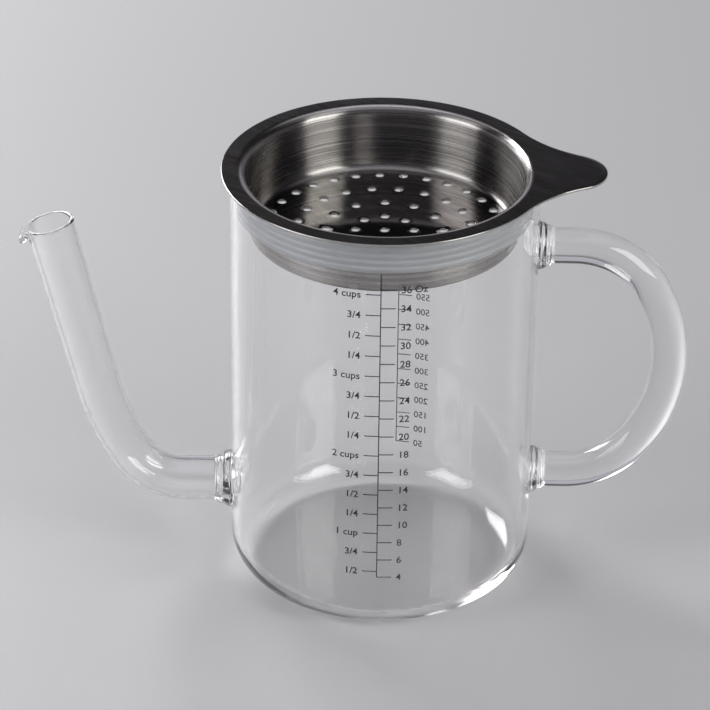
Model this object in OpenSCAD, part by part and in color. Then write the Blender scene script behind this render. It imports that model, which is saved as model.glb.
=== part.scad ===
// Gravy fat separator: a blown glass jug with a low spout and a tube handle fused to it,
// and a drawn steel strainer that sits in the mouth of the jug in a ribbed silicone seal.
// The origin is on the table under the jug's axis, +Z is up, +X runs out through the handle.

/* [Jug] */
// Outer diameter of the glass jug
jug_d = 105.5; // [96:0.5:120]
// Height of the glass rim above the table
jug_h = 152.8; // [148:0.1:175]
// Thickness of the blown wall
glass_t = 2.2; // [1.6:0.1:3]
// Thickness of the glass floor
floor_t = 3; // [2:0.1:5]
// Outer radius of the rounded heel between wall and floor
heel_r = 12.2; // [8:0.1:16]

/* [Spout] */
// Outer diameter of the spout tube where it leaves the jug
spout_d = 15.7; // [13:0.1:18]
// Outer diameter of the spout tube at its mouth
mouth_d = 16.8; // [14:0.1:20]
// Wall of the spout tube
spout_t = 1.5; // [1.2:0.1:2.2]
// Height of the axis of the spout's stub above the table
spout_z = 30.1; // [26:0.1:36]
// Length of the straight stub outside the jug
spout_stub = 17.2; // [12:0.1:24]
// Radius of the tight elbow at the foot of the spout
elbow_r = 20.7; // [16:0.1:28]
// Turn of the tight elbow
elbow_a = 59; // [50:1:65]
// Radius of the long sweep above the elbow
sweep_r = 96; // [60:1:130]
// Turn of the long sweep
sweep_a = 17.7; // [10:0.1:20]
// Depth of the centre of the spout's mouth below the glass rim
mouth_depth = 22.5; // [10:0.1:40]
// How far the pouring lip stands out from the spout tube
lip_out = 4.5; // [3:0.1:6]
// Width of the pouring lip
lip_w = 8; // [6:0.1:11]

/* [Handle] */
// Outer diameter of the handle tube
handle_d = 12.4; // [10:0.1:14]
// Wall of the handle tube
handle_t = 1.5; // [1.2:0.1:2.2]
// Depth of the axis of the upper handle stub below the glass rim
handle_depth = 27.3; // [22:0.1:34]
// Drop from the upper handle stub to the lower one
handle_drop = 89.3; // [84:0.1:95]
// Length of the straight upper stub outside the jug
handle_stub = 12.6; // [9:0.1:18]
// Length of the straight lower stub outside the jug
lower_stub = 11.7; // [9:0.1:18]
// Radius of the upper bend
upper_r = 31; // [26:0.1:34]
// Turn of the upper bend
upper_a = 63; // [56:1:70]
// Turn of the long bend
grip_a = 64; // [56:1:70]

/* [Welds] */
// How far the flared foot of a weld spreads out along the jug wall
weld_foot = 2.7; // [1.8:0.1:3.5]
// Length of a weld along its tube
weld_len = 5.2; // [4:0.1:7]
// Thickness of a weld where it runs out on its tube
weld_skin = 0.3; // [0.2:0.05:0.6]
// Radius of the bead of gathered glass next to the jug wall
weld_bead = 1; // [0.8:0.05:1.4]
// Radius of the small bead where the weld runs out
weld_end_bead = 0.7; // [0.5:0.05:0.9]
// How far each bead stands out of the flare
bead_out = 0.35; // [0.2:0.05:0.6]

/* [Strainer] */
// Thickness of the steel sheet
sheet_t = 0.8; // [0.5:0.05:1.2]
// Depth of the cup from the top of the flange to the edge of its floor
cup_depth = 22.5; // [18:0.1:28]
// How far the flange reaches past the outside of the glass
flange_over = 2.8; // [1.5:0.1:5]
// Draw radius between flange and cup wall, on the inner face
draw_r = 3.5; // [2.5:0.1:5]
// Radius between cup wall and floor, on the inner face
corner_r = 3; // [2:0.1:5]
// Draft of the cup wall
wall_draft = 6; // [2:0.5:9]
// How far the floor is dished below its edge
floor_dish = 1; // [0.5:0.1:2]
// Space between the flange and the rim of the glass
rim_gap = 0.2; // [0.1:0.05:0.5]
// Diameter of the drain holes
hole_d = 3; // [2:0.1:4]
// Number of drain holes in the inner ring
holes_1 = 8; // [6:1:12]
// Number of drain holes in the second ring
holes_2 = 12; // [8:1:24]
// Number of drain holes in the third ring
holes_3 = 20; // [12:1:32]
// Number of drain holes in the outer ring
holes_4 = 30; // [16:1:40]
// Turn of the third and outer rings of holes against the tab
holes_turn = 9; // [0:0.5:12]
// Space between the outer ring of holes and the corner radius
hole_margin = 2.4; // [2.2:0.1:4]
// How far the thumb tab reaches out of the flange
tab_reach = 19.4; // [14:0.1:26]
// Radius of the end of the tab
tab_tip_r = 13.2; // [9:0.1:16]
// Radius of the hollow sides of the tab
tab_side_r = 45; // [30:1:60]

/* [Seal] */
// Height of the silicone seal
seal_h = 11.8; // [8:0.1:14]
// Space between the seal and the flange above it
seal_top_gap = 0.4; // [0.2:0.1:1]
// Space between the seal's ribs and the glass
seal_glass_gap = 0.3; // [0.2:0.05:0.5]
// Space between the seal and the cup wall
seal_cup_gap = 0.1; // [0.05:0.05:0.2]
// Number of ribs around the seal
rib_count = 5; // [3:1:6]
// Depth of the grooves between the ribs
rib_depth = 0.7; // [0.4:0.05:0.9]

/* [Hidden] */
$fn = 96;

// How far a cutting shape runs past what it cuts
past = 5;
glass_colour = [0.84, 0.89, 0.9, 0.45];

jug_r = jug_d / 2;
jug_in_r = jug_r - glass_t;
heel_c = jug_r - heel_r;

// Straight pieces of a tube are thinner than its bends by seam on every face, and run into the
// bends by lap; link is the straight piece between two bends
seam = 0.02;
lap = 0.5;
link = 1;

// Spout: turn and height at the top of its bends, then the straight run up to the mouth
mouth_h = jug_h - mouth_depth;
spout_a = elbow_a + sweep_a;
bend_rise = elbow_r * (1 - cos(elbow_a)) + link * sin(elbow_a)
          + sweep_r * (cos(elbow_a) - cos(spout_a));
spout_run = (mouth_h - spout_z - bend_rise) / sin(spout_a);
spout_reach = spout_stub + elbow_r * sin(elbow_a) + link * cos(elbow_a)
            + sweep_r * (sin(spout_a) - sin(elbow_a)) + spout_run * cos(spout_a);
mouth_mid_r = (mouth_d - spout_t) / 2;
lip_roll = lip_out / 2;

// Handle: the long bend and the lower bend get the radii that bring the tube back level to the
// jug, at the right height and with the lower stub at its right length
handle_z = jug_h - handle_depth;
back_a = upper_a + grip_a;
out_left = lower_stub - handle_stub - upper_r * sin(upper_a) - link * (cos(upper_a) + cos(back_a));
drop_left = handle_drop - upper_r * (1 - cos(upper_a)) - link * (sin(upper_a) + sin(back_a));
grip_out = sin(back_a) - sin(upper_a);
grip_down = cos(upper_a) - cos(back_a);
both = grip_out * (1 + cos(back_a)) + grip_down * sin(back_a);
grip_r = (out_left * (1 + cos(back_a)) + drop_left * sin(back_a)) / both;
lower_r = (drop_left * grip_out - out_left * grip_down) / both;

// Strainer: centres of the draw radius and of the corner radius in the section of the cup
flange_r = jug_r + flange_over;
flange_z = jug_h + rim_gap + sheet_t;
draw_c = [jug_in_r, flange_z - draw_r];
corner_z = flange_z - cup_depth + corner_r;
wall_n = [cos(wall_draft), -sin(wall_draft)];
corner_c = [draw_c.x - (draw_r + corner_r - wall_n.y * (draw_c.y - corner_z)) / wall_n.x, corner_z];
ring_holes = [holes_1, holes_2, holes_3, holes_4];
ring_turn = [0, 0, holes_turn, holes_turn];
ring_pitch = (corner_c.x - hole_margin) / len(ring_holes);

// Seal
seal_r = jug_in_r - seal_glass_gap;
seal_z = flange_z - sheet_t - seal_top_gap - seal_h;
rib_pitch = seal_h / rib_count;

// ---- tubes: each piece is drawn from the origin along +Z and carries on at its far end

module straight(len, d1, d2, t) {
    rotate_extrude() polygon([
        [d1 / 2 - t + seam, -lap], [d1 / 2 - seam, -lap],
        [d2 / 2 - seam, len + lap], [d2 / 2 - t + seam, len + lap]]);
    translate([0, 0, len]) children();
}

// Bend towards +X about a centre at radius r
module bend(r, turn, d, t) {
    translate([r, 0, 0]) rotate([90, 0, 0]) rotate([0, 0, 180 - turn])
        rotate_extrude(angle = turn) translate([r, 0]) difference() {
            circle(d = d);
            circle(d = d - 2 * t);
        }
    translate([r, 0, 0]) rotate([0, turn, 0]) translate([-r, 0, 0]) children();
}

// Last straight piece of the spout, with the fire-polished rim of its mouth
module mouth_piece(len, d1, d2, t) {
    rotate_extrude() {
        polygon([
            [d1 / 2 - t + seam, -lap], [d1 / 2 - seam, -lap],
            [d2 / 2 - seam, len], [d2 / 2 - t + seam, len]]);
        translate([(d2 - t) / 2, len]) circle(d = t + 2 * seam);
    }
}

// Places children at the mouth of the spout, with +Z out along the tube and -X the pouring side
module at_mouth() {
    translate([-jug_r - spout_reach, 0, mouth_h]) rotate([0, spout_a - 90, 0]) children();
}

module jug_outside() {
    translate([0, 0, -past]) cylinder(h = jug_h + 2 * past, r = jug_r);
}

// ---- glass

// Section of the jug, drawn in by inset on its walls and raised to bottom on its floor
module jug_section(inset, bottom, top) {
    r = heel_r - inset;
    translate([0, bottom]) square([heel_c, top - bottom]);
    translate([heel_c - past, bottom + r]) square([r + past, top - bottom - r]);
    translate([heel_c, bottom + r]) intersection() {
        circle(r = r);
        translate([-r / 2, -r]) square([2 * r, r]);
    }
}

module jug_body() {
    rim_r = glass_t / 2;
    color(glass_colour) difference() {
        rotate_extrude() {
            difference() {
                jug_section(0, 0, jug_h - rim_r);
                jug_section(glass_t, floor_t, jug_h + past);
            }
            // fire-polished rim
            translate([jug_r - rim_r, jug_h - rim_r]) circle(r = rim_r);
        }
        translate([-jug_in_r / 2, 0, spout_z]) rotate([0, -90, 0])
            cylinder(h = jug_r, d = spout_d - 2 * spout_t);
    }
}

// Upright round patch on the pouring side of the mouth, where the rim is rolled into the lip
module lip_patch(grow) {
    translate([-mouth_d / 2 - lip_out + lip_w / 2, 0, -2 * lip_roll])
        cylinder(h = 3 * lip_roll, d = lip_w + 2 * grow);
}

// Section of the rolled lip, a little thinner than the wall that it grows out of
module lip_curl() {
    t = spout_t - 6 * seam;
    intersection() {
        translate([mouth_mid_r + lip_roll, -lip_roll]) difference() {
            circle(r = lip_roll + t / 2);
            circle(r = lip_roll - t / 2);
        }
        translate([0, -1.25 * lip_roll]) square([mouth_d + lip_out, 2 * past]);
    }
}

module spout_tube() {
    color(glass_colour) difference() {
        union() {
            difference() {
                translate([-jug_in_r, 0, spout_z]) rotate([0, -90, 0])
                    straight(spout_stub + glass_t, spout_d, spout_d, spout_t)
                    bend(elbow_r, elbow_a, spout_d, spout_t)
                    straight(link, spout_d, spout_d, spout_t)
                    bend(sweep_r, sweep_a, spout_d, spout_t)
                    mouth_piece(spout_run, spout_d, mouth_d, spout_t);
                at_mouth() intersection() {
                    lip_patch(0);
                    translate([-jug_r, -lip_w, -lip_roll]) cube([jug_r, 2 * lip_w, 2 * past]);
                }
            }
            at_mouth() intersection() {
                rotate_extrude() lip_curl();
                lip_patch(0.3);
            }
        }
        jug_outside();
    }
}

module handle_tube() {
    color(glass_colour) difference() {
        translate([jug_in_r, 0, handle_z]) rotate([0, 90, 0])
            straight(handle_stub + glass_t, handle_d, handle_d, handle_t)
            bend(upper_r, upper_a, handle_d, handle_t)
            straight(link, handle_d, handle_d, handle_t)
            bend(grip_r, grip_a, handle_d, handle_t)
            straight(link, handle_d, handle_d, handle_t)
            bend(lower_r, 180 - back_a, handle_d, handle_t)
            straight(lower_stub + glass_t, handle_d, handle_d, handle_t);
        jug_outside();
    }
}

// Ring of melted glass around a tube of diameter d, from the jug wall outwards along +Z: a flare
// that runs out on the tube, with two beads around it
module weld_ring(d) {
    r = d / 2 - seam;
    slope = (weld_foot - weld_skin) / weld_len;
    rotate_extrude() difference() {
        union() {
            polygon([[r, -2 * glass_t], [r + weld_foot, -2 * glass_t], [r + weld_foot, 0],
                     [r + weld_skin, weld_len], [r, weld_len]]);
            weld_bead_at(r + weld_foot, slope, 1.6 * weld_bead, weld_bead);
            weld_bead_at(r + weld_foot, slope, weld_len - weld_end_bead, weld_end_bead);
        }
        square([r, weld_len + past]);
    }
}

// Bead of radius b, with its centre at height h, on a flare that is r wide at the wall
module weld_bead_at(r, slope, h, b) {
    translate([r - slope * h + bead_out - b, h]) circle(r = b);
}

module spout_weld() {
    color(glass_colour) difference() {
        translate([-jug_r, 0, spout_z]) rotate([0, -90, 0]) weld_ring(spout_d);
        jug_outside();
    }
}

module handle_weld(z) {
    color(glass_colour) difference() {
        translate([jug_r, 0, z]) rotate([0, 90, 0]) weld_ring(handle_d);
        jug_outside();
    }
}

module handle_upper_weld() {
    handle_weld(handle_z);
}

module handle_lower_weld() {
    handle_weld(handle_z - handle_drop);
}

// ---- steel strainer

function cup_floor_z(r) = flange_z - cup_depth - floor_dish * (1 - pow(r / corner_c.x, 2));

// Section of all that lies inside and above the cup, grown by t on every side
module cup_hollow(t) {
    wall_foot = corner_c + (corner_r + t) * wall_n;
    wall_top = draw_c - (draw_r - t) * wall_n;
    far = flange_r + past;
    difference() {
        union() {
            polygon(concat(
                [for (k = [0:6]) [corner_c.x * k / 6, cup_floor_z(corner_c.x * k / 6) - t]],
                [corner_c, wall_foot, wall_top, draw_c, [draw_c.x, flange_z - t],
                 [far, flange_z - t], [far, flange_z + past], [0, flange_z + past]]));
            translate(corner_c) circle(r = corner_r + t);
        }
        translate(draw_c) circle(r = draw_r - t);
    }
}

// Outline of the thumb tab: a round end, joined to the flange by two hollow sides
module tab_outline() {
    tip_x = flange_r + tab_reach - tab_tip_r;
    a = flange_r + tab_side_r;
    b = tab_tip_r + tab_side_r;
    side_x = (a * a - b * b + tip_x * tip_x) / (2 * tip_x);
    side_y = sqrt(a * a - side_x * side_x);
    difference() {
        polygon([[0, 0], [side_x, -side_y], [tip_x, 0], [side_x, side_y]]);
        for (s = [-1, 1]) translate([side_x, s * side_y]) circle(r = tab_side_r);
    }
    translate([tip_x, 0]) circle(r = tab_tip_r);
}

module drain_hole() {
    translate([0, 0, flange_z - cup_depth - floor_dish - past]) cylinder(h = 2 * past, d = hole_d);
}

module strainer() {
    color("lightslategray") difference() {
        union() {
            rotate_extrude() intersection() {
                difference() {
                    cup_hollow(sheet_t);
                    cup_hollow(0);
                }
                square([flange_r, flange_z]);
            }
            translate([0, 0, flange_z - sheet_t]) linear_extrude(sheet_t) difference() {
                tab_outline();
                circle(r = flange_r - flange_over);
            }
        }
        drain_hole();
        for (i = [0:len(ring_holes) - 1], k = [0:ring_holes[i] - 1])
            rotate([0, 0, ring_turn[i] + 360 * k / ring_holes[i]])
                translate([(i + 1) * ring_pitch, 0, 0]) drain_hole();
    }
}

// ---- silicone seal

module seal_ring() {
    body_r = seal_r - rib_depth;
    color("gainsboro") rotate_extrude() difference() {
        union() {
            translate([corner_c.x, seal_z]) square([body_r - corner_c.x, seal_h]);
            for (k = [0:rib_count - 1])
                translate([seal_r - rib_pitch / 2, seal_z + rib_pitch * (k + 0.5)])
                    circle(d = rib_pitch);
        }
        cup_hollow(sheet_t + seal_cup_gap);
    }
}

jug_body();
spout_tube();
spout_weld();
handle_tube();
handle_upper_weld();
handle_lower_weld();
strainer();
seal_ring();
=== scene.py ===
"""Dresses the gravy separator: fused glass, brushed steel, silicone and printed scales."""

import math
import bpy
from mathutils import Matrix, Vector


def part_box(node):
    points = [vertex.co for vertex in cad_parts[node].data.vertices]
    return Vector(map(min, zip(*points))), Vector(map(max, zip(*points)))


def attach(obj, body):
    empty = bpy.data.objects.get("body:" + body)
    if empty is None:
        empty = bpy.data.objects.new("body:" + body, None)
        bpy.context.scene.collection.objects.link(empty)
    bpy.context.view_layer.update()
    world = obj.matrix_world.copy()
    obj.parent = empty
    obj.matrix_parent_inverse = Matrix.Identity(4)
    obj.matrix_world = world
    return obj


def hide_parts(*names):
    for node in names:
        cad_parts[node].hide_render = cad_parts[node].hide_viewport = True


bl_info = {
    "name": "Gravy fat separator",
    "version": (1, 0, 0),
    "blender": (4, 5, 0),
    "location": "View3D > Sidebar > Separator",
    "description": "Makes a glass gravy separator and its strainer around a packed CAD frame",
    "category": "Object",
}

import bmesh
import bpy
import numpy as np
from mathutils import Matrix, Vector

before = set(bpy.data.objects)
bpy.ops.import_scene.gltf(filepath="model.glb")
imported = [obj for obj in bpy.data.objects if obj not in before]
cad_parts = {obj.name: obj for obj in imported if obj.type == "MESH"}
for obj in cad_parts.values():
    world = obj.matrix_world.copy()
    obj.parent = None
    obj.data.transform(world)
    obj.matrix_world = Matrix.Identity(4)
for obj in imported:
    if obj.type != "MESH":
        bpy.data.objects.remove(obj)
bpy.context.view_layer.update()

MM = 0.001
TURN = 2 * math.pi
JUG_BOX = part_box("jug_body")
FLANGE_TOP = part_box("strainer")[1].z


# ------------ sizes and colours


def length(name, description, mm):
    """A size that a user can change, given in millimetres and kept in metres."""
    return bpy.props.FloatProperty(
        name=name, description=description, default=mm * MM, precision=5, unit="LENGTH"
    )


def angle(name, description, degrees):
    """An angle that a user can change."""
    return bpy.props.FloatProperty(
        name=name, description=description, default=math.radians(degrees), subtype="ANGLE"
    )


def srgb(hexcode):
    """Linear red, green and blue of an sRGB hex colour."""
    channels = [int(hexcode[i : i + 2], 16) / 255 for i in (0, 2, 4)]
    return tuple(c / 12.92 if c <= 0.04045 else ((c + 0.055) / 1.055) ** 2.4 for c in channels)


def colour(name, description, hexcode):
    """A colour that a user can change, given as an sRGB hex value."""
    return bpy.props.FloatVectorProperty(
        name=name,
        description=description,
        default=srgb(hexcode),
        size=3,
        min=0,
        max=1,
        subtype="COLOR",
    )


class JugSizes(bpy.types.PropertyGroup):
    """Sizes of the blown jug."""

    radius: length("Radius", "Outer radius of the jug", JUG_BOX[1].x / MM)
    height: length("Height", "Height of the glass rim", JUG_BOX[1].z / MM)
    wall: length("Wall", "Thickness of the blown wall", 2.2)
    floor: length("Floor", "Thickness of the floor at its edge", 3.0)
    heel: length("Heel", "Outer radius of the rounded heel", 12.2)
    dome: length("Dome", "Rise of the inner floor in its middle", 0.5)


class SpoutSizes(bpy.types.PropertyGroup):
    """Sizes of the bent spout tube."""

    height: length("Height", "Height of the stub's axis", 30.1)
    radius: length("Tube radius", "Outer radius of the tube at its foot", 7.83)
    mouth_radius: length("Mouth radius", "Outer radius of the tube at its mouth", 8.38)
    wall: length("Wall", "Thickness of the tube's wall", 1.5)
    stub: length("Stub", "Straight stub outside the jug", 17.2)
    elbow: length("Elbow radius", "Radius of the tight elbow", 20.7)
    elbow_turn: angle("Elbow turn", "Turn of the tight elbow", 59)
    sweep: length("Sweep radius", "Radius of the long sweep", 96)
    sweep_turn: angle("Sweep turn", "Turn of the long sweep", 17.7)
    run: length("Straight run", "Straight run up to the mouth", 63.65)
    lip: length("Lip roll", "Radius of the rolled pouring lip", 1.63)


class HandleSizes(bpy.types.PropertyGroup):
    """Sizes of the bent handle, a solid rod: a hollow one would not gather light as it does."""

    height: length("Height", "Height of the upper stub's axis", 125.5)
    drop: length("Drop", "Height of the upper stub's axis over the lower one's", 89.3)
    radius: length("Rod radius", "Radius of the rod", 6.18)
    stub: length("Upper stub", "Straight upper stub outside the jug", 12.6)
    upper: length("Upper radius", "Radius of the upper bend", 31)
    upper_turn: angle("Upper turn", "Turn of the upper bend", 63)
    grip: length("Grip radius", "Radius of the long bend", 55.99)
    grip_turn: angle("Grip turn", "Turn of the long bend", 64)
    lower: length("Lower radius", "Radius of the lower bend", 29.05)
    lower_stub: length("Lower stub", "Straight lower stub outside the jug", 11.7)


class StrainerSizes(bpy.types.PropertyGroup):
    """Sizes of the drawn steel strainer."""

    sheet: length("Sheet", "Thickness of the steel sheet", 0.8)
    flange: length("Flange radius", "Outer radius of the flange", 55.52)
    draw: length("Draw radius", "Inner radius between flange and cup wall", 3.5)
    corner: length("Corner radius", "Inner radius between cup wall and floor", 3.0)
    depth: length("Depth", "Depth of the cup to the edge of its floor", 22.5)
    dish: length("Dish", "How far the floor is dished", 1.0)
    draft: angle("Draft", "Slope of the cup wall", 6)
    hole: length("Hole radius", "Radius of a drain hole", 1.5)
    tab_reach: length("Tab reach", "How far the tab reaches out of the flange", 19.4)
    tab_tip: length("Tab tip", "Radius of the end of the tab", 13.2)
    tab_side: length("Tab side", "Radius of the hollow sides of the tab", 45)


class SealSizes(bpy.types.PropertyGroup):
    """Sizes of the ribbed silicone seal."""

    height: length("Height", "Height of the seal", 11.8)
    top_gap: length("Top gap", "Space under the flange", 0.4)
    glass_gap: length("Glass gap", "Space between ribs and glass", 0.3)
    groove: length("Groove", "Depth of the grooves between ribs", 0.45)
    ribs: bpy.props.IntProperty(name="Ribs", description="Number of ribs", default=5, min=3, max=6)


class ScaleSizes(bpy.types.PropertyGroup):
    """Sizes of the printed scales."""

    zero: length("Zero", "Height at which both scales start", 9.75)
    ounce: length("Ounce", "Height of one fluid ounce", 3.501)
    front: angle("Front azimuth", "Azimuth of the front scale's line from the front", -0.82)
    back: angle("Back azimuth", "Azimuth of the back scale's line from the front", 173.87)
    letter: length("Letter size", "Size of the figures", 3.6)
    line: length("Line width", "Width of the printed lines", 0.35)


class Finishes(bpy.types.PropertyGroup):
    """Colours of the materials and of the stage."""

    glass: colour("Glass", "Tint of the borosilicate glass", "FFFFFF")
    steel: colour("Steel", "Reflectance of the stainless steel", "B4B1AE")
    silicone: colour("Silicone", "Milky silicone", "9DA0A2")
    ink: colour("Ink", "Black ceramic ink", "15171A")
    ground: colour("Ground", "Pale studio ground", "A3A3A3")


GROUPS = {
    "jug": JugSizes,
    "spout": SpoutSizes,
    "handle": HandleSizes,
    "strainer": StrainerSizes,
    "seal": SealSizes,
    "scale": ScaleSizes,
    "finish": Finishes,
}


def sizes(group):
    """The property group of that name, as the user left it."""
    return getattr(bpy.context.scene, "separator_" + group)


# ------------ making meshes


class Skin:
    """Points and faces of one piece while it is made, ring by ring."""

    def __init__(self):
        self.points = []
        self.faces = []

    def ring(self, points):
        """Adds points and returns their numbers."""
        first = len(self.points)
        self.points.extend(tuple(p) for p in points)
        return list(range(first, len(self.points)))

    def band(self, a, b, skip=()):
        """Faces between two closed rings of as many points, without the columns in skip."""
        for i in range(len(a)):
            if i not in skip:
                j = (i + 1) % len(a)
                self.faces.append((a[i], a[j], b[j], b[i]))

    def bands(self, rings):
        """Faces between each ring and the next one."""
        for a, b in zip(rings, rings[1:]):
            self.band(a, b)

    def cap(self, ring, point):
        """A fan from a ring to one point."""
        centre = self.ring([point])[0]
        for i, a in enumerate(ring):
            self.faces.append((a, ring[(i + 1) % len(ring)], centre))

    def bmesh(self, weld):
        """The skin as a bmesh, with points closer than weld joined and its normals outward."""
        bm = bmesh.new()
        points = [bm.verts.new(p) for p in self.points]
        for face in self.faces:
            bm.faces.new([points[i] for i in face])
        if weld:
            bmesh.ops.remove_doubles(bm, verts=bm.verts, dist=weld)
        unused = [v for v in bm.verts if not v.link_faces]
        bmesh.ops.delete(bm, geom=unused, context="VERTS")
        bmesh.ops.recalc_face_normals(bm, faces=bm.faces)
        if bm.calc_volume(signed=True) < 0:
            bmesh.ops.reverse_faces(bm, faces=bm.faces)
        return bm


def new_object(name, bm, material):
    """An object from a bmesh, which it uses up."""
    mesh = bpy.data.meshes.new(name)
    bm.to_mesh(mesh)
    bm.free()
    mesh.materials.append(material)
    made = bpy.data.objects.new(name, mesh)
    bpy.context.scene.collection.objects.link(made)
    return made


def add_piece(name, skin, material, body, weld=0.0, crease=None):
    """A piece from a skin, smooth all over or creased at edges sharper than crease in degrees."""
    piece = new_object(name, skin.bmesh(weld), material)
    polygons = piece.data.polygons
    polygons.foreach_set("use_smooth", [True] * len(polygons))
    if crease:
        piece.data.set_sharp_from_angle(angle=math.radians(crease))
    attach(piece, body)
    return piece


def polar(radius, turn):
    """The two coordinates of a point at a distance in a direction."""
    return radius * math.cos(turn), radius * math.sin(turn)


def circle(count):
    """That many directions, evenly spaced."""
    return [TURN * i / count for i in range(count)]


def about(centre, radius, turns):
    """Points at a distance from a centre, in the directions given."""
    return [(centre[0] + x, centre[1] + y) for x, y in (polar(radius, t) for t in turns)]


def arc(centre, radius, start, end, steps):
    """Points of a section's arc, from start to end in degrees."""
    return about(centre, radius, np.radians(np.linspace(start, end, steps + 1)))


def turned(skin, section, count):
    """Rings of a surface turned about the jug's axis, one for each point of its section."""
    return [skin.ring((*polar(r, t), z) for t in circle(count)) for r, z in section]


def through(points, steps):
    """A smooth curve through the points of a section, with steps pieces between two of them."""
    p = np.array([points[0], *points, points[-1]], float)
    curve = []
    for i in range(1, len(p) - 2):
        for t in np.arange(steps) / steps:
            a = 2 * p[i]
            b = p[i + 1] - p[i - 1]
            c = 2 * p[i - 1] - 5 * p[i] + 4 * p[i + 1] - p[i + 2]
            d = -p[i - 1] + 3 * p[i] - 3 * p[i + 1] + p[i + 2]
            curve.append(0.5 * (a + b * t + c * t * t + d * t**3))
    return curve + [p[-2]]


# ------------ materials


def set_up(material, node, **settings):
    """Sets a node's attributes and sockets by name; a socket given an output is linked to it."""
    for key, value in settings.items():
        socket = key.replace("_", " ")
        if isinstance(value, bpy.types.NodeSocket):
            material.node_tree.links.new(value, node.inputs[socket])
        elif hasattr(node, key):
            setattr(node, key, value)
        else:
            node.inputs[socket].default_value = value
    return node


def add_node(material, kind, **settings):
    """Adds a node with its settings and links."""
    return set_up(material, material.node_tree.nodes.new(kind), **settings)


def new_material(name, **settings):
    """A material, its Principled shader with these settings, and the object's coordinates."""
    material = bpy.data.materials.new(name)
    material.use_nodes = True
    shader = set_up(material, material.node_tree.nodes["Principled BSDF"], **settings)
    place = add_node(material, "ShaderNodeTexCoord").outputs["Object"]
    return material, shader, place


def borosilicate_glass():
    """Blown borosilicate, fire-polished: colourless, with the long waves of a hand-drawn wall."""
    material, shader, place = new_material(
        "blown_borosilicate_glass",
        Base_Color=(*sizes("finish").glass, 1),
        Roughness=0.0,
        IOR=1.473,
        Transmission_Weight=1.0,
    )
    # Draw waves run along the wall, about 25 mm apart around it and 90 mm long
    stretch = add_node(material, "ShaderNodeMapping", Vector=place, Scale=(40, 40, 11))
    waves = add_node(
        material, "ShaderNodeTexNoise", Vector=stretch.outputs[0], Scale=1.0, Detail=1.0
    )
    bump = add_node(
        material, "ShaderNodeBump", Height=waves.outputs["Fac"], Strength=0.06, Distance=0.2 * MM
    )
    set_up(material, shader, Normal=bump.outputs[0])
    return material


def brushed_steel(name, grain, turn, gloss, tone):
    """Drawn 18/10 stainless steel sheet, brushed: fine lines that differ in gloss and tone."""
    steel = sizes("finish").steel
    material, shader, place = new_material(
        name,
        Base_Color=(*(c * sum(tone) / 2 for c in steel), 1),
        Metallic=1.0,
        Roughness=sum(gloss) / 2,
    )
    turned_place = add_node(
        material, "ShaderNodeMapping", Vector=place, Rotation=(0, 0, math.radians(turn))
    )
    stretch = add_node(
        material, "ShaderNodeMapping", Vector=turned_place.outputs[0], Scale=grain
    )
    lines = add_node(
        material, "ShaderNodeTexNoise", Vector=stretch.outputs[0], Scale=1.0, Detail=3.0
    ).outputs["Fac"]
    shine = add_node(
        material,
        "ShaderNodeMapRange",
        Value=lines,
        From_Min=0.3,
        From_Max=0.7,
        To_Min=gloss[0],
        To_Max=gloss[1],
    )
    bump = add_node(material, "ShaderNodeBump", Height=lines, Strength=0.05, Distance=0.05 * MM)
    # Each brushed line gives back a little more or less light than its neighbours. The tone pair
    # also sets how light the part is overall, and on the cup wall that level is painted: painted
    # shade inside, painted light outside. A tone below zero counts as zero. The colour sockets go
    # by number, since others share their names.
    tint = add_node(material, "ShaderNodeMix", data_type="RGBA", Factor=lines)
    tint.inputs[6].default_value = (*(max(c * tone[0], 0) for c in steel), 1)
    tint.inputs[7].default_value = (*(c * tone[1] for c in steel), 1)
    set_up(material, shader, Base_Color=tint.outputs[2], Roughness=shine.outputs[0])
    set_up(material, shader, Normal=bump.outputs[0])
    return material, shader


def steel_finishes():
    """The strainer's finishes: satin flange, spun wall, brushed floor, outside of the wall. The
    wall's two faces are one finish, painted darker inside as painted shade and lighter outside as
    painted light.
    """
    # Grit of about 0.08 mm, drawn at 0.3 mm so that it shows, in lines 12 mm long
    flange, _ = brushed_steel(
        "satin_steel_flange", (80, 3300, 3300), 35, gloss=(0.15, 0.21), tone=(0.6, 1.5)
    )
    floor, _ = brushed_steel(
        "brushed_steel_floor", (60, 2600, 2600), 52, gloss=(0.035, 0.075), tone=(0.0, 1.4)
    )
    # Spinning leaves rings around the wall, and a gleam that is drawn out up and down
    spun = []
    # The inside of the wall is painted darker, a painted shade that dims the lamps' gleam on it,
    # and the outside is painted lighter, a painted light; the sheet is the same on both faces
    for name, tone in (("spun_steel_wall_painted_darker", (-0.2, 0.95)), ("spun_steel_skirt_painted_lighter", (0.1, 1.5))):
        wall, shader = brushed_steel(name, (6, 6, 1600), 0, gloss=(0.23, 0.29), tone=tone)
        around = add_node(wall, "ShaderNodeTangent", direction_type="RADIAL", axis="Z")
        set_up(wall, shader, Tangent=around.outputs[0])
        set_up(wall, shader, Anisotropic=0.98, Anisotropic_Rotation=0.25)
        spun.append(wall)
    return flange, spun[0], floor, spun[1]


def moulded_silicone():
    """Compression-moulded food silicone: milky, soft sheen, with a very fine mould grain."""
    material, shader, place = new_material(
        "moulded_silicone",
        Base_Color=(*sizes("finish").silicone, 1),
        Roughness=0.38,
        IOR=1.41,
        Subsurface_Weight=0.3,
        Subsurface_Radius=(1, 1, 1),
        Subsurface_Scale=1.5 * MM,
    )
    # The mould's grain is finer, and is drawn at 0.4 mm so that it shows
    grain = add_node(material, "ShaderNodeTexNoise", Vector=place, Scale=2500.0, Detail=2.0)
    bump = add_node(
        material, "ShaderNodeBump", Height=grain.outputs["Fac"], Strength=0.2, Distance=0.04 * MM
    )
    set_up(material, shader, Normal=bump.outputs[0])
    return material


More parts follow.
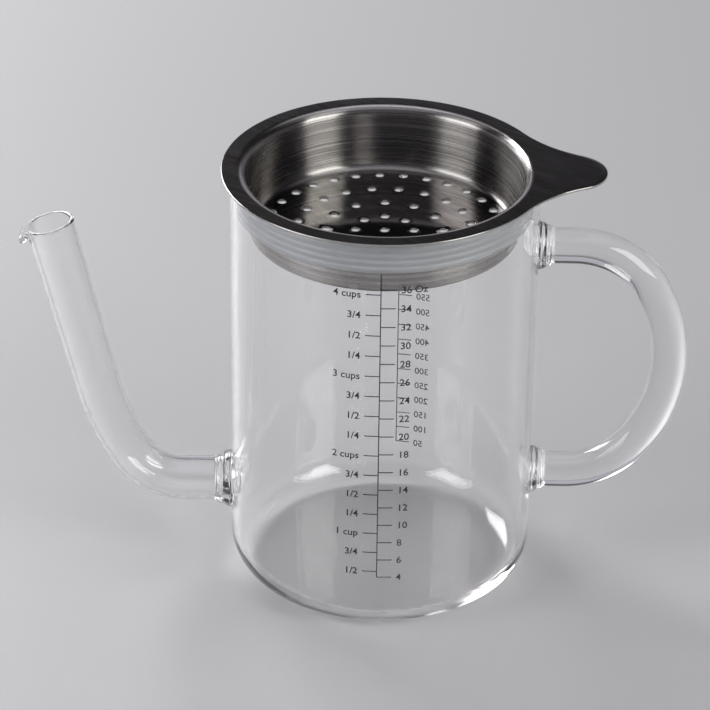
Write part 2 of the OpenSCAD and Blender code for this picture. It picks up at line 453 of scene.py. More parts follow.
def ceramic_ink():
    """Screen-printed ceramic ink, fired on: dense black, satin, a little uneven in its gloss."""
    material, shader, place = new_material(
        "fired_ceramic_ink", Base_Color=(*sizes("finish").ink, 1), Roughness=0.45
    )
    # The printing screen's mesh is finer, and is drawn at 0.55 mm so that it shows
    mesh_marks = add_node(
        material, "ShaderNodeTexNoise", Vector=place, Scale=1800.0, Detail=1.0
    )
    gloss = add_node(
        material, "ShaderNodeMapRange", Value=mesh_marks.outputs["Fac"], To_Min=0.35, To_Max=0.6
    )
    set_up(material, shader, Roughness=gloss.outputs[0])
    return material


# ------------ glass

COLUMNS = 264  # points around the jug
REACH = 11  # half of a window's width in columns, and of its height in rows
ROW = 1.22 * MM  # height of the rows of faces at the windows
RUN_STEP, BEND_STEP = 3 * MM, 1.6 * MM  # spacing of a tube's stations
LINK = 1 * MM  # short straight piece between two bends

# Section of a weld in mm from the wall: distance outside the tube, height over the wall.
# It has a flare and two gathered beads.
WELD = (
    (3.6, 0.0), (3.0, 0.06), (2.66, 0.35), (2.42, 0.85), (2.30, 1.5), (1.95, 2.3),
    (1.38, 3.0), (1.12, 3.6), (0.98, 4.3), (0.62, 4.95), (0.16, 5.5), (0.0, 6.4),
)
SPOUT_BULK, HANDLE_BULK = 1.0, 0.85  # size of each weld against that section


class Station:
    """A place on a tube's centre line in the plane y = 0, with its heading."""

    def __init__(self, x, z, heading, radius):
        self.x, self.z, self.heading, self.radius = x, z, heading, radius

    def inward(self):
        """Unit vector towards the inside of the bend."""
        return math.sin(self.heading), -math.cos(self.heading)

    def moved(self, along, radius):
        """The station further along the same straight line."""
        dx, dz = polar(along, self.heading)
        return Station(self.x + dx, self.z + dz, self.heading, radius)

    def point(self, turn):
        """Point of the tube's skin at an angle from the inside of the bend."""
        ix, iz = self.inward()
        inward, y = polar(self.radius, turn)
        return self.x + inward * ix, y, self.z + inward * iz


def bent_tube(start, pieces):
    """Stations along ("run", length, end radius) and ("bend", radius, turn) pieces."""
    stations = [start]
    for kind, size, end in pieces:
        here = stations[-1]
        if kind == "run":
            steps = max(1, round(size / RUN_STEP))
            for k in range(1, steps + 1):
                radius = here.radius + (end - here.radius) * k / steps
                stations.append(here.moved(size * k / steps, radius))
        else:
            ix, iz = here.inward()
            cx, cz = here.x + size * ix, here.z + size * iz
            steps = max(6, round(size * end / BEND_STEP))
            for k in range(1, steps + 1):
                heading = here.heading - end * k / steps
                x, z = cx - size * math.sin(heading), cz + size * math.cos(heading)
                stations.append(Station(x, z, heading, here.radius))
    return stations


class Port:
    """Where a tube meets the jug: the window left in its wall, and the rings that close it."""

    def __init__(self, side, height, upside_down=False):
        self.side = side
        self.height = height
        self.flip = -1 if upside_down else 1
        self.column = 0 if side > 0 else COLUMNS // 2
        self.row = None

    def find_row(self, heights):
        """Notes the row of the wall that passes through the window's middle."""
        self.row = min(range(len(heights)), key=lambda k: abs(heights[k] - self.height))

    def window(self, row):
        """Columns of the wall that the window takes away from a row of faces."""
        if not self.row - REACH <= row < self.row + REACH:
            return set()
        return {(self.column + k) % COLUMNS for k in range(-REACH, REACH)}

    def wall_point(self, radius, y, z, out=0.0, flatten=0.0):
        """A point over the wall: out is its distance, and flatten takes it off the wall's curve."""
        drop = radius - math.sqrt(radius * radius - y * y)
        return self.side * (radius + out - drop * (1 - flatten)), y, z

    def around(self, wall, rho, turns, out=0.0, flatten=0.0):
        """Points of a circle about the tube's axis, laid over the wall."""
        return [
            self.wall_point(wall, y, self.height + self.flip * up, out, flatten)
            for up, y in (polar(rho, t) for t in turns)
        ]

    def rim(self, skin, rings):
        """The window's edge as a ring of points, from the inside of the bend around."""
        span = range(-REACH, REACH + 1)
        edge = {
            rings[self.row + i][(self.column + k) % COLUMNS]
            for i in span
            for k in span
            if max(abs(i), abs(k)) == REACH
        }

        def turn(number):
            """Direction of a point, with a hair added so that the first one stays first."""
            x, y, z = skin.points[number]
            return (math.atan2(y, self.flip * (z - self.height)) + 1e-6) % TURN

        return sorted(edge, key=turn)

    def neck(self, skin, edge, wall, rho):
        """Rings on the wall that lead from the square window to a circle, and its directions."""
        turns = circle(len(edge))
        goals = self.around(wall, rho, turns)
        rings = [edge]
        for share in (0.25, 0.5, 0.75):
            points = []
            for number, goal in zip(edge, goals):
                square = skin.points[number]
                y, z = (a + (b - a) * share for a, b in zip(square[1:], goal[1:]))
                points.append(self.wall_point(wall, y, z))
            rings.append(skin.ring(points))
        return rings, turns

    def weld(self, skin, outer_wall, wall, radius, bulk):
        """Rings from the window's edge to the end of the weld, their directions, its height."""
        section = [(radius + r * bulk * MM, h * bulk * MM) for r, h in through(WELD, 4)]
        height = section[-1][1]
        rings, turns = self.neck(skin, self.rim(skin, outer_wall), wall, section[0][0])
        for r, h in section:
            share = h / height
            flatten = share * share * (3 - 2 * share)
            rings.append(skin.ring(self.around(wall, r, turns, h, flatten)))
        return rings, turns, height


def jug_heights(jug, ports):
    """Heights of the rings on the jug's wall, with a ring at the middle of each port."""
    spout_z, low_z, high_z = (p.height for p in ports)
    start = spout_z - REACH * ROW
    between = round((low_z - spout_z) / ROW)
    first = [start + ROW * k for k in range(2 * REACH + between + 1)]
    top_start = high_z - REACH * ROW
    steps = round((top_start - first[-1]) / ROW)
    middle = list(np.linspace(first[-1], top_start, steps + 1)[1:])
    second = [top_start + ROW * k for k in range(1, 2 * REACH + 1)]
    last = list(np.linspace(second[-1], jug.height - jug.wall / 2, 11)[1:])
    return first + middle + second + last


def floor_height(jug, radius):
    """The inner floor: nearly flat, with the low dome and ripple that the blowing mould leaves."""
    dome_reach, ripple, ripple_radius, ripple_reach = 9 * MM, 0.12 * MM, 18 * MM, 2.2 * MM
    dome = jug.dome * math.exp(-((radius / dome_reach) ** 2))
    ring = ripple * math.exp(-(((radius - ripple_radius) / ripple_reach) ** 2))
    return jug.floor + dome - ring


def blow_skin(jug, spout, handle):
    """The skin of the whole fused glass: jug, spout with its bore, and solid handle."""
    skin = Skin()
    spout_port = Port(-1, spout.height)
    lower_port = Port(1, handle.height - handle.drop)
    upper_port = Port(1, handle.height, upside_down=True)
    ports = (spout_port, lower_port, upper_port)
    heights = jug_heights(jug, ports)
    for port in ports:
        port.find_row(heights)

    heel_r = jug.radius - jug.heel
    foot = [(r, 0.0) for r in np.linspace(3 * MM, heel_r, 12)[:-1]]
    foot += arc((heel_r, jug.heel), jug.heel, -90, 0, 16)
    foot += [(jug.radius, z) for z in np.linspace(jug.heel, heights[0], 5)[1:-1]]
    outer = turned(skin, foot + [(jug.radius, z) for z in heights], COLUMNS)
    rim = arc((jug.radius - jug.wall / 2, heights[-1]), jug.wall / 2, 0, 180, 12)
    rim = turned(skin, rim[1:-1], COLUMNS)
    inner_radius, inner_heel = jug.radius - jug.wall, jug.heel - jug.wall
    inner = turned(skin, [(inner_radius, z) for z in heights], COLUMNS)
    inside = [
        (inner_radius, z) for z in np.linspace(heights[0], jug.floor + inner_heel, 4)[1:-1]
    ]
    inside += arc((heel_r, jug.floor + inner_heel), inner_heel, 0, -90, 14)
    inside += [(r, floor_height(jug, r)) for r in np.linspace(heel_r, 1.2 * MM, 34)[1:]]
    inside = turned(skin, inside, COLUMNS)

    skin.cap(outer[0], (0, 0, 0))
    skin.cap(inside[-1], (0, 0, floor_height(jug, 0)))
    low = len(foot)
    for k, (a, b) in enumerate(zip(outer, outer[1:])):
        skin.band(a, b, set().union(*(port.window(k - low) for port in ports)))
    skin.bands([outer[-1], *rim, inner[-1]])
    for k, (a, b) in enumerate(zip(inner, inner[1:])):
        skin.band(a, b, spout_port.window(k))
    skin.bands([inner[0], *inside])

    spout_skin(skin, jug, spout, spout_port, outer[low:], inner)
    handle_skin(skin, jug, handle, (upper_port, lower_port), outer[low:])
    return skin


def spout_path(jug, spout, start_out, inset):
    """Stations of the spout from start_out outside the wall to its mouth, inset in its skin."""
    radius = spout.radius - inset
    return bent_tube(
        Station(-(jug.radius + start_out), spout.height, math.pi, radius),
        [
            ("run", spout.stub - start_out, radius),
            ("bend", spout.elbow, spout.elbow_turn),
            ("run", LINK, radius),
            ("bend", spout.sweep, spout.sweep_turn),
            ("run", spout.run, spout.mouth_radius - inset),
        ],
    )


class Lip:
    """Bends the rim of the mouth outwards into the pouring lip."""

    DEPTH = 5.5 * MM  # stretch of the tube that bends
    CURL = math.radians(165)  # how far its end turns
    HALF_ARC = 0.40  # half of the lip's width, in radians about the tube's axis
    FADE = 2.4  # how suddenly the lip ends at its sides
    START = 0.8  # share of the stretch by which the roll starts below the mouth
    EASE = 2.2  # how soon the bend is complete along the stretch
    DROP = 0.6  # how much thicker the melted end is
    PINCH = 0.3  # how much the lip narrows towards its end

    def __init__(self, mouth, spout):
        self.mouth = mouth
        self.roll = spout.lip
        self.middle = mouth.radius - spout.wall / 2

    def bend(self, points):
        """The points after bending, each moved in proportion to its closeness to the lip."""
        m = self.mouth
        ax, az = polar(1, m.heading)
        ox, oz = -az, ax
        moved = []
        for x, y, z in points:
            rx, rz = x - m.x, z - m.z
            along = rx * ax + rz * az
            side = rx * ox + rz * oz
            off_axis = math.hypot(side, y)
            bearing = math.atan2(y, side)
            weight = math.exp(-((abs(bearing) / self.HALF_ARC) ** self.FADE))
            share = max(0.0, along + self.DEPTH) / self.DEPTH
            if weight < 1e-3 or share <= 0:
                moved.append((x, y, z))
                continue
            rolled = min(share, 1.0)
            turn = rolled * self.CURL * weight
            past = max(0.0, along) * (1 + self.DROP * weight)
            off = (off_axis - self.middle) * (1 + self.DROP * weight * rolled**4)
            arm = self.roll - off
            out = self.middle + self.roll - arm * math.cos(turn) + past * math.sin(turn)
            up = -self.DEPTH * self.START + arm * math.sin(turn) + past * math.cos(turn)
            straight = along * (1 - weight) if along < 0 else along
            up = up * weight + straight * (1 - weight)
            blend = min(1.0, share * self.EASE)
            new_along = along + (up - along) * blend * weight
            new_off = off_axis + (out - off_axis) * blend
            s, new_y = polar(new_off, bearing * (1 - self.PINCH * weight * rolled))
            moved.append((m.x + new_along * ax + s * ox, new_y, m.z + new_along * az + s * oz))
        return moved


def spout_skin(skin, jug, spout, port, outer_wall, inner_wall):
    """Weld, outside, rolled mouth and bore of the spout."""
    rings, turns, weld_end = port.weld(skin, outer_wall, jug.radius, spout.radius, SPOUT_BULK)
    outside = spout_path(jug, spout, weld_end, 0.0)
    mouth = outside[-1]
    lip = Lip(mouth, spout)
    half = spout.wall / 2

    def tube_ring(station):
        """A ring of the tube, bent where the lip is."""
        return skin.ring(lip.bend([station.point(t) for t in turns]))

    def refine(stations):
        """The stations, closer together in the last stretch, where the lip bends."""
        end = stations[-1]
        before = [s for s in stations if math.hypot(s.x - end.x, s.z - end.z) > 6.5 * MM]
        last = [end.moved(-d * MM, end.radius) for d in np.arange(6.2, 0.2, -0.3)]
        return before + last + [end]

    rings += [tube_ring(s) for s in refine(outside)[1:]]
    for t in np.linspace(0, math.pi, 9)[1:-1]:
        radius = mouth.radius - half + half * math.cos(t)
        rings.append(tube_ring(mouth.moved(half * math.sin(t), radius)))
    rings += [tube_ring(s) for s in refine(spout_path(jug, spout, 0.0, spout.wall))[:0:-1]]

    # Through the wall, the bore turns from the tube's flat end to the wall's curve
    inner_radius = jug.radius - jug.wall
    bore_r = spout.radius - spout.wall
    for out, flatten in ((0.0, 0.8), (-0.6 * MM, 0.4), (-1.2 * MM, 0.1)):
        rings.append(skin.ring(port.around(jug.radius, bore_r, turns, out, flatten)))
    edge_r = 0.9 * MM
    for t in np.linspace(0, math.pi / 2, 6):
        grow = edge_r * (1 - math.cos(t))
        deep = edge_r * (1 - math.sin(t))
        rings.append(skin.ring(port.around(inner_radius, bore_r + grow, turns, deep)))
    inner_edge = port.rim(skin, inner_wall)
    neck, _ = port.neck(skin, inner_edge, inner_radius, bore_r + edge_r * 1.6)
    skin.bands(rings + neck[::-1])


def handle_skin(skin, jug, handle, ports, outer_wall):
    """Both welds and the outside of the handle."""
    ends = []
    for port in ports:
        rings, turns, weld_end = port.weld(
            skin, outer_wall, jug.radius, handle.radius, HANDLE_BULK
        )
        ends.append(rings)
    path = bent_tube(
        Station(jug.radius, handle.height, 0.0, handle.radius),
        [
            ("run", handle.stub, handle.radius),
            ("bend", handle.upper, handle.upper_turn),
            ("run", LINK, handle.radius),
            ("bend", handle.grip, handle.grip_turn),
            ("run", LINK, handle.radius),
            ("bend", handle.lower, math.pi - handle.upper_turn - handle.grip_turn),
            ("run", handle.lower_stub, handle.radius),
        ],
    )
    clear = jug.radius + weld_end + 0.5 * MM
    middle = [skin.ring([s.point(t) for t in turns]) for s in path if s.x > clear]
    skin.bands(ends[0] + middle + ends[1][::-1])


class SEPARATOR_OT_blow_glass(bpy.types.Operator):
    """Blows the jug and fuses spout and handle to it, in one piece of glass"""

    bl_idname = "separator.blow_glass"
    bl_label = "Blow glass"

    def execute(self, context):
        skin = blow_skin(sizes("jug"), sizes("spout"), sizes("handle"))
        piece = add_piece("fused_glass_jug", skin, borosilicate_glass(), "jug")
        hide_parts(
            "jug_body",
            "spout_tube",
            "spout_weld",
            "handle_tube",
            "handle_upper_weld",
            "handle_lower_weld",
        )
        return {"FINISHED"}


# ------------ strainer

CUP_SEGMENTS = 240  # points around the cup and the seal
RINGS_OF_HOLES = ((8, 0), (12, 0), (20, 9), (30, 9))  # holes, turn in degrees
HOLES_EDGE = 2.4 * MM  # from the last ring of holes to the floor's edge
BEVEL = 0.12 * MM  # rounding of a hole's edges
SOFT = 0.18 * MM  # rounding of the flange's edge
JOINT = 0.12 * MM  # from the last ring of the cup to the first one of the flange


class CupSection:
    """Section of the drawn cup: where its roundings sit, and how high its floor is."""

    def __init__(self):
        s, jug = sizes("strainer"), sizes("jug")
        self.s = s
        self.top = FLANGE_TOP
        self.draw = (jug.radius - jug.wall, self.top - s.draw)
        corner_z = self.top - s.depth + s.corner
        lean = math.sin(s.draft) * (self.draw[1] - corner_z)
        across = (s.draw + s.corner + lean) / math.cos(s.draft)
        self.corner = (self.draw[0] - across, corner_z)
        self.pitch = (self.corner[0] - HOLES_EDGE) / len(RINGS_OF_HOLES)

    def floor(self, radius):
        """Height of the floor's upper face."""
        s = self.s
        return self.top - s.depth - s.dish * (1 - (radius / self.corner[0]) ** 2)

    def wall(self, grow):
        """Section from the floor's edge to the inside of the flange, grown by the sheet outside."""
        s = self.s
        draft = math.degrees(s.draft)
        low = arc(self.corner, s.corner + grow, -88, -draft, 10)
        high = arc(self.draw, s.draw - grow, 180 - draft, 90, 12)
        side = np.linspace(low[-1], high[0], 8)[1:-1]
        return low + [tuple(p) for p in side] + high


def hole_cells(skin, cup, side):
    """The floor of the cup on one side of the sheet, made of one cell around each hole."""
    s = cup.s
    drop = 0.0 if side > 0 else s.sheet
    edge = s.hole + BEVEL
    rounding = ((s.hole, BEVEL), (s.hole + 0.3 * BEVEL, 0.3 * BEVEL))

    def put(x, y, sink=0.0):
        """A point of the floor, sunk into the sheet at a hole's edge."""
        return x, y, cup.floor(math.hypot(x, y)) - drop - side * sink

    bounds = [cup.pitch * (k + 0.5) for k in range(len(RINGS_OF_HOLES))] + [cup.corner[0]]
    spread = [(r, 0.0) for r in np.linspace(edge, bounds[0], 6)]
    middle = [
        skin.ring(put(*polar(r, t), sink) for t in circle(CUP_SEGMENTS))
        for r, sink in (*rounding, *spread)
    ]
    skin.bands(middle)
    rims = [middle[0]]
    for k, (count, phase) in enumerate(RINGS_OF_HOLES):
        r0, r1 = bounds[k], bounds[k + 1]
        across = CUP_SEGMENTS // count
        up = max(6, round((r1 - r0) / (1.1 * MM)))
        half = math.pi / count
        for i in range(count):
            centre = TURN * i / count + math.radians(phase)
            angles = np.linspace(centre - half, centre + half, across + 1)
            radii = np.linspace(r0, r1, up + 1)
            loop = [(r0, a) for a in angles[:-1]] + [(r, angles[-1]) for r in radii[:-1]]
            loop += [(r1, a) for a in angles[:0:-1]] + [(r, angles[0]) for r in radii[:0:-1]]
            border = [polar(r, a) for r, a in loop]
            hole = polar(cup.pitch * (k + 1), centre)
            spokes = even_spokes(border, hole)
            goals = about(hole, edge, spokes)
            rings = [skin.ring(put(x, y) for x, y in border)]
            for share in (0.35, 0.7, 1.0):
                rings.append(
                    skin.ring(
                        put(x + (gx - x) * share, y + (gy - y) * share)
                        for (x, y), (gx, gy) in zip(border, goals)
                    )
                )
            for r, sink in rounding[::-1]:
                rings.append(skin.ring(put(x, y, sink) for x, y in about(hole, r, spokes)))
            skin.bands(rings)
            rims.append(rings[-1])
    return rims


def even_spokes(border, centre):
    """One angle per border point, between its true direction and even spacing."""
    true = np.unwrap([math.atan2(y - centre[1], x - centre[0]) for x, y in border])
    even = true[0] + np.sign(true[-1] - true[0]) * TURN * np.arange(len(border)) / len(border)
    even += np.mean(true - even)
    return 0.4 * true + 0.6 * even


def tab_outline(s, turn):
    """Distance of the flange's edge from the axis in a direction, with the thumb tab."""
    tip_x = s.flange + s.tab_reach - s.tab_tip
    a, b = s.flange + s.tab_side, s.tab_tip + s.tab_side
    side_x = (a * a - b * b + tip_x * tip_x) / (2 * tip_x)
    side_y = math.sqrt(a * a - side_x * side_x)
    t = abs((turn + math.pi) % TURN - math.pi)
    if t >= math.atan2(side_y, side_x):
        return s.flange
    c, n = math.cos(t), math.sin(t)
    join = math.atan2(s.tab_tip * side_y / b, tip_x + s.tab_tip * (side_x - tip_x) / b)
    if t <= join:
        return tip_x * c + math.sqrt(max(0.0, s.tab_tip**2 - (tip_x * n) ** 2))
    along = side_x * c + side_y * n
    return along - math.sqrt(max(0.0, along**2 - (side_x**2 + side_y**2 - s.tab_side**2)))


def flange_turns():
    """Directions of the flange's points, closer together around the tab."""
    return [t - 0.28 * math.sin(t) for t in circle(2 * CUP_SEGMENTS)]


def flange_rings(skin, cup):
    """Flange and tab, from the draw radius over the edge to the underside."""
    s = cup.s
    inner = cup.draw[0]
    turns = flange_turns()
    edge = [tab_outline(s, t) for t in turns]

    def ring_at(share, height, inset=0.0):
        """A ring between the draw radius and the edge. The flange falls a little outwards."""
        points = []
        for t, e in zip(turns, edge):
            r = inner + (e - inner) * share - inset
            fall = min(0.012 * max(0.0, r - inner - 1 * MM), 0.1 * MM)
            points.append((*polar(r, t), height - fall))
        return skin.ring(points)

    shares = (0.0, 0.25, 0.5, 0.75, 0.9)
    under = cup.top - s.sheet
    rings = [ring_at(share, cup.top) for share in shares]
    for t in np.linspace(0, math.pi / 2, 5):
        rings.append(ring_at(1, cup.top - SOFT * (1 - math.cos(t)), SOFT * (1 - math.sin(t))))
    for t in np.linspace(math.pi / 2, 0, 5):
        rings.append(ring_at(1, under + SOFT * (1 - math.cos(t)), SOFT * (1 - math.sin(t))))
    rings += [ring_at(share, under) for share in shares[::-1]]
    skin.bands(rings)
    return rings[0], rings[-1]


def join_fine(skin, coarse, fine, turns):
    """Joins a ring to one of other spacing in the same flat place, by the nearest points."""
    n, m = len(coarse), len(fine)
    at = circle(n) + [TURN]
    i = j = 0
    while i < n or j < m:
        next_fine = turns[j + 1] if j + 1 < m else TURN + turns[0]
        if i < n and (j >= m or at[i + 1] <= next_fine):
            skin.faces.append((coarse[i], coarse[(i + 1) % n], fine[j % m]))
            i += 1
        else:
            skin.faces.append((coarse[i % n], fine[(j + 1) % m], fine[j]))
            j += 1


class SEPARATOR_OT_draw_strainer(bpy.types.Operator):
    """Draws the steel cup with its flange and tab, and punches its drain holes"""

    bl_idname = "separator.draw_strainer"
    bl_label = "Draw strainer"

    def execute(self, context):
        cup = CupSection()
        skin = Skin()
        for top, low in zip(hole_cells(skin, cup, 1), hole_cells(skin, cup, -1)):
            skin.band(top, low)
        top_edge, low_edge = flange_rings(skin, cup)
        for grow, edge in ((0.0, top_edge), (cup.s.sheet, low_edge)):
            section = [(cup.corner[0], cup.floor(cup.corner[0]) - grow)] + cup.wall(grow)[:-1]
            section.append((cup.draw[0] - JOINT, cup.top - grow))
            wall = turned(skin, section, CUP_SEGMENTS)
            skin.bands(wall)
            join_fine(skin, wall[-1], edge, flange_turns())
        finishes = steel_finishes()
        piece = add_piece(
            "drawn_steel_strainer", skin, finishes[0], "strainer", weld=0.002 * MM, crease=40
        )
        for finish in finishes[1:]:
            piece.data.materials.append(finish)
        # The floor's finish starts low in the corner, and the flange's half way up the draw
        for face in piece.data.polygons:
            x, y, z = face.center
            if z < cup.corner[1] - 0.95 * cup.s.corner:
                face.material_index = 2
            elif math.hypot(x, y) < cup.draw[0] - 0.5 * cup.s.draw:
                # Below that, the wall's outer faces take the copy painted lighter and its inner
                # faces the copy painted darker: painted light and painted shade on one sheet
                outside = face.normal.x * x + face.normal.y * y > 0
                face.material_index = 3 if outside else 1
        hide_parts("strainer")
        return {"FINISHED"}


# ------------ seal


class SEPARATOR_OT_mould_seal(bpy.types.Operator):
    """Moulds the ribbed silicone seal around the cup"""

    bl_idname = "separator.mould_seal"
    bl_label = "Mould seal"

    def execute(self, context):
        seal, jug = sizes("seal"), sizes("jug")
        cup = CupSection()
        cup_gap = 0.1 * MM
        outer = jug.radius - jug.wall - seal.glass_gap
        top = cup.top - cup.s.sheet - seal.top_gap
        bottom = top - seal.height
        pitch = seal.height / seal.ribs
        r = pitch / 2
        clip = min(80, math.degrees(math.acos(max(-1.0, 1 - seal.groove / r))))
        section = []
        for k in range(seal.ribs):
            section += arc((outer - r, bottom + pitch * (k + 0.5)), r, -clip, clip, 8)
        section.append((outer - seal.groove, top))
        inside = [p for p in cup.wall(cup.s.sheet + cup_gap) if bottom < p[1] < top]
        section += inside[::-1]
        lowest = min(inside, key=lambda p: p[1])
        section += [(lowest[0], bottom), (outer - seal.groove, bottom)]
        skin = Skin()
        rings = turned(skin, section, CUP_SEGMENTS)
        skin.bands(rings + [rings[0]])
        piece = add_piece("ribbed_silicone_seal", skin, moulded_silicone(), "seal", crease=50)
        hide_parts("seal_ring")
        return {"FINISHED"}


# ------------ printed scales

OUNCE_ML, CUP_ML = 28.413, 250
LINE_TOP = 141.5 * MM  # upper end of both scales' lines
TICK, TEXT_GAP = 5.0 * MM, 6.6 * MM  # a tick's length, and the distance of line and figures
CUP_SHIFT = 0.87 * MM  # the cup marks are printed this much too high


class Print:
    """Ink on the outside of the jug, laid out flat in metres and then wrapped around it."""

    THICK = 0.02 * MM
    LIFT = 0.02 * MM

    def __init__(self, azimuth, low):
        self.azimuth = azimuth
        self.radius = sizes("jug").radius
        self.half = sizes("scale").line / 2
        self.bm = bmesh.new()
        self.bar(-self.half, low, self.half, LINE_TOP)

    def bar(self, u0, z0, u1, z1):
        """A printed bar, cut into short pieces so that it follows the glass."""
        steps = max(1, math.ceil(abs(u1 - u0) / (0.8 * MM)))
        columns = []
        for k in range(steps + 1):
            u = u0 + (u1 - u0) * k / steps
            columns.append(
                [self.bm.verts.new((u, z, w)) for w in (0, self.THICK) for z in (z0, z1)]
            )
        for a, b in zip(columns, columns[1:]):
            for i, j in ((0, 1), (1, 3), (3, 2), (2, 0)):
                self.bm.faces.new((a[i], b[i], b[j], a[j]))
        for end in (columns[0], columns[-1]):
            self.bm.faces.new((end[0], end[1], end[3], end[2]))

    def mark(self, text, z, side):
        """A tick and its words, at the right of the line for side 1 and at its left for -1."""
        self.bar(min(0, side * TICK), z - self.half, max(0, side * TICK), z + self.half)
        self.words(text, side * TEXT_GAP, z, side)

    def words(self, text, u, z, side):
        """Words at a height, starting at u for side 1 or ending at u for -1."""
        letter = sizes("scale").letter
        curve = bpy.data.curves.new("lettering", "FONT")
        curve.body = text
        curve.size = letter
        curve.align_x = {1: "LEFT", -1: "RIGHT"}[side]
        curve.extrude = self.THICK / 2
        curve.offset = 0.011 * letter  # makes the strokes bolder
        curve.resolution_u = 4
        holder = bpy.data.objects.new("lettering", curve)
        bpy.context.scene.collection.objects.link(holder)
        bpy.context.view_layer.update()
        mesh = bpy.data.meshes.new_from_object(
            holder.evaluated_get(bpy.context.evaluated_depsgraph_get())
        )
        half_figure = 0.36 * letter
        mesh.transform(Matrix.Translation((u, z - half_figure, self.THICK / 2)))
        self.bm.from_mesh(mesh)
        bpy.data.objects.remove(holder)
        bpy.data.curves.remove(curve)
        bpy.data.meshes.remove(mesh)

    def wrap(self, name, material):
        """Makes the finished print a piece on the jug."""
        bmesh.ops.remove_doubles(self.bm, verts=self.bm.verts, dist=1e-7)
        bmesh.ops.recalc_face_normals(self.bm, faces=self.bm.faces)
        for v in self.bm.verts:
            turn = self.azimuth + v.co.x / self.radius
            r = self.radius + self.LIFT + v.co.z
            v.co = Vector((r * math.sin(turn), -r * math.cos(turn), v.co.y))
        piece = new_object(name, self.bm, material)
        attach(piece, "jug")


class SEPARATOR_OT_print_scales(bpy.types.Operator):
    """Prints the ounce and cup scale in front and the millilitre scale behind"""

    bl_idname = "separator.print_scales"
    bl_label = "Print scales"

    def execute(self, context):
        scale = sizes("scale")
        ink = ceramic_ink()
        front = Print(scale.front, scale.zero + 4 * scale.ounce)
        for ounces in range(4, 37, 2):
            front.mark(f"{ounces}", scale.zero + ounces * scale.ounce, 1)
        front.words("Oz", TEXT_GAP + 4.5 * MM, scale.zero + 36 * scale.ounce, 1)
        per_cup = CUP_ML / OUNCE_ML * scale.ounce
        for quarters in range(2, 17):
            whole, part = divmod(quarters, 4)
            text = ("1/4", "1/2", "3/4")[part - 1] if part else f"{whole} cups"
            z = scale.zero + CUP_SHIFT + per_cup * quarters / 4
            front.mark("1 cup" if quarters == 4 else text, z, -1)
        front.wrap("printed_scale_front", ink)
        per_ml = scale.ounce / OUNCE_ML
        back = Print(scale.back, scale.zero + 50 * per_ml)
        for ml in range(50, 1001, 50):
            back.mark(f"{ml}", scale.zero + ml * per_ml, -1)
        back.words("ml", -TEXT_GAP, scale.zero + 1042 * per_ml, -1)
        back.wrap("printed_scale_back", ink)
        return {"FINISHED"}


# ------------ stage


def studio_ground():
    """Seamless studio sheet: matt, pale grey, with hardly any grain."""
    material, shader, place = new_material(
        "seamless_studio_sheet", Base_Color=(*sizes("finish").ground, 1), Roughness=0.5
    )
    grain = add_node(material, "ShaderNodeTexNoise", Vector=place, Scale=900.0)
    bump = add_node(
        material, "ShaderNodeBump", Height=grain.outputs["Fac"], Strength=0.05, Distance=0.1 * MM
    )
    set_up(material, shader, Normal=bump.outputs[0])
    return material


def softbox(name, direction, distance, width, height, brightness, tint):
    """A rectangular soft light that faces the jug, with the brightness of its surface."""
    aim = Vector((0, 0, 0.08))
    place = aim + Vector(direction).normalized() * distance
    light = bpy.data.lights.new(name, "AREA")
    light.shape = "RECTANGLE"
    light.size, light.size_y = width, height
    light.energy = brightness * math.pi * width * height
    light.color = tint
    holder = bpy.data.objects.new(name, light)
    holder.location = place
    holder.rotation_euler = (aim - place).to_track_quat("-Z", "Y").to_euler()
    bpy.context.scene.collection.objects.link(holder)


def studio_walls():
    """The studio around the sheet: pale low down, black above that, and bright overhead."""
    world = bpy.data.worlds.new("studio_walls")
    world.use_nodes = True
    background = world.node_tree.nodes["Background"]
    background.inputs["Color"].default_value = (0.92, 0.9, 1.0, 1)
    place = add_node(world, "ShaderNodeTexCoord").outputs["Generated"]
    height = add_node(world, "ShaderNodeSeparateXYZ", Vector=place).outputs["Z"]
    total = add_node(world, "ShaderNodeMath", operation="ADD")
    # From height, to height, brightness below, brightness above
    for socket, levels in zip(total.inputs, ((0.27, 0.38, 0.45, 0.012), (0.7, 0.95, 0.0, 1.0))):
        keys = ("From_Min", "From_Max", "To_Min", "To_Max")
        ramp = add_node(world, "ShaderNodeMapRange", Value=height, **dict(zip(keys, levels)))
        world.node_tree.links.new(ramp.outputs[0], socket)
    set_up(world, background, Strength=total.outputs[0])
    return world


def light_studio():
    """The walls, two softboxes at the left and one at the right, and how light is followed."""
    scene = bpy.context.scene
    scene.world = studio_walls()
    cool, warm = (0.985, 0.975, 1.0), (1.0, 0.995, 0.97)
    softbox("back_left", (-0.55, 0.75, 0.50), 1.3, 0.56, 0.56, 15, cool)
    softbox("left", (-0.90, -0.43, 0.52), 1.6, 0.9, 1.1, 5.2, cool)
    softbox("right_front", (0.84, -0.56, 0.52), 1.6, 0.8, 1.0, 6.6, warm)
    scene.view_settings.view_transform = "Standard"
    # Light that is caught in the glass wall turns back many times before it comes out
    scene.cycles.blur_glossy = 0
    scene.cycles.max_bounces = 72
    scene.cycles.glossy_bounces = 64
    scene.cycles.transmission_bounces = 72


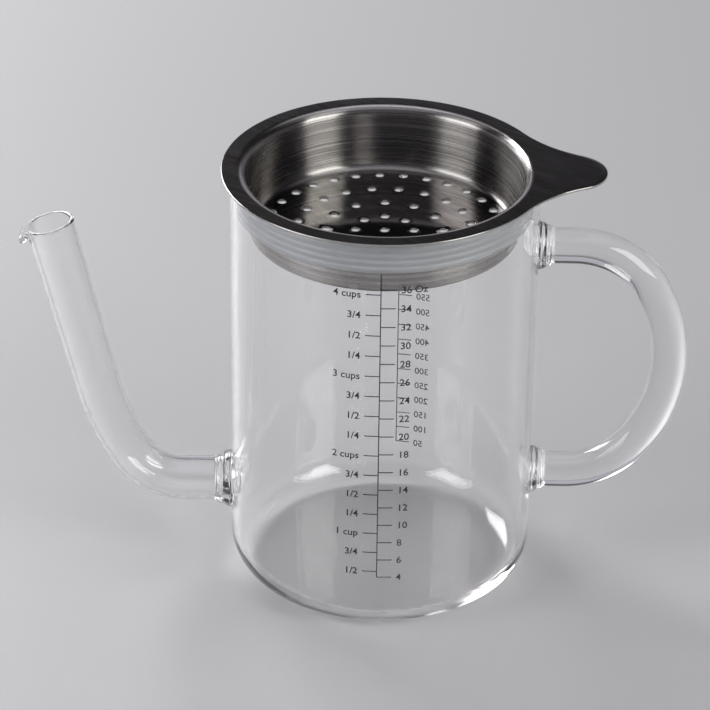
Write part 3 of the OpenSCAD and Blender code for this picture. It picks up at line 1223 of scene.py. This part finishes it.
def photo_camera():
    """The camera where the photograph was taken from, fitted for a square picture."""
    place = Vector((0.0011, -1.0427, 0.6762))
    elevation, yaw, roll = (math.radians(a) for a in (29.715, -0.586, 0.693))
    sensor, focal_px, photo_px = 36.0, 3453.8, 710
    right_part = math.sin(yaw) * math.cos(elevation)
    back_part = math.cos(yaw) * math.cos(elevation)
    forward = Vector((right_part, back_part, -math.sin(elevation)))
    level = Vector((math.cos(yaw), -math.sin(yaw), 0))
    upright = level.cross(forward)
    right = math.cos(roll) * level + math.sin(roll) * upright
    up = -math.sin(roll) * level + math.cos(roll) * upright
    data = bpy.data.cameras.new("camera")
    data.sensor_width = sensor
    data.lens = sensor * focal_px / photo_px
    data.clip_end = 50
    camera = bpy.data.objects.new("camera", data)
    rotation = Matrix((right, up, -forward)).transposed().to_4x4()
    camera.matrix_world = Matrix.Translation(place) @ rotation
    bpy.context.scene.collection.objects.link(camera)
    bpy.context.scene.camera = camera


class SEPARATOR_OT_set_stage(bpy.types.Operator):
    """Lays the pale ground and sets the studio lights and the camera"""

    bl_idname = "separator.set_stage"
    bl_label = "Set stage"

    def execute(self, context):
        bm = bmesh.new()
        bmesh.ops.create_grid(bm, x_segments=8, y_segments=8, size=4.0)
        ground = new_object("ground", bm, studio_ground())
        ground.location.z = -0.1 * MM
        light_studio()
        photo_camera()
        return {"FINISHED"}


# ------------ panel and run


class SEPARATOR_PT_panel(bpy.types.Panel):
    """Lists the pieces of the separator in the sidebar"""

    bl_idname = "SEPARATOR_PT_panel"
    bl_label = "Gravy separator"
    bl_space_type = "VIEW_3D"
    bl_region_type = "UI"
    bl_category = "Separator"

    def draw(self, context):
        for operator in OPERATORS:
            self.layout.operator(operator.bl_idname)
        for group, kind in GROUPS.items():
            box = self.layout.box()
            box.label(text=group.capitalize())
            for key in kind.__annotations__:
                box.prop(sizes(group), key)


OPERATORS = (
    SEPARATOR_OT_set_stage,
    SEPARATOR_OT_blow_glass,
    SEPARATOR_OT_draw_strainer,
    SEPARATOR_OT_mould_seal,
    SEPARATOR_OT_print_scales,
)
CLASSES = tuple(GROUPS.values()) + OPERATORS + (SEPARATOR_PT_panel,)


def register():
    """Registers the add-on's classes and puts its sizes on the scene."""
    for cls in CLASSES:
        bpy.utils.register_class(cls)
    for group, kind in GROUPS.items():
        setattr(bpy.types.Scene, "separator_" + group, bpy.props.PointerProperty(type=kind))


def unregister():
    """Takes the sizes and classes away again."""
    for group in GROUPS:
        delattr(bpy.types.Scene, "separator_" + group)
    for cls in reversed(CLASSES):
        bpy.utils.unregister_class(cls)


def main():
    """Makes every piece."""
    register()
    for operator in OPERATORS:
        getattr(bpy.ops.separator, operator.bl_idname.split(".")[1])()


if __name__ == "__main__":
    main()
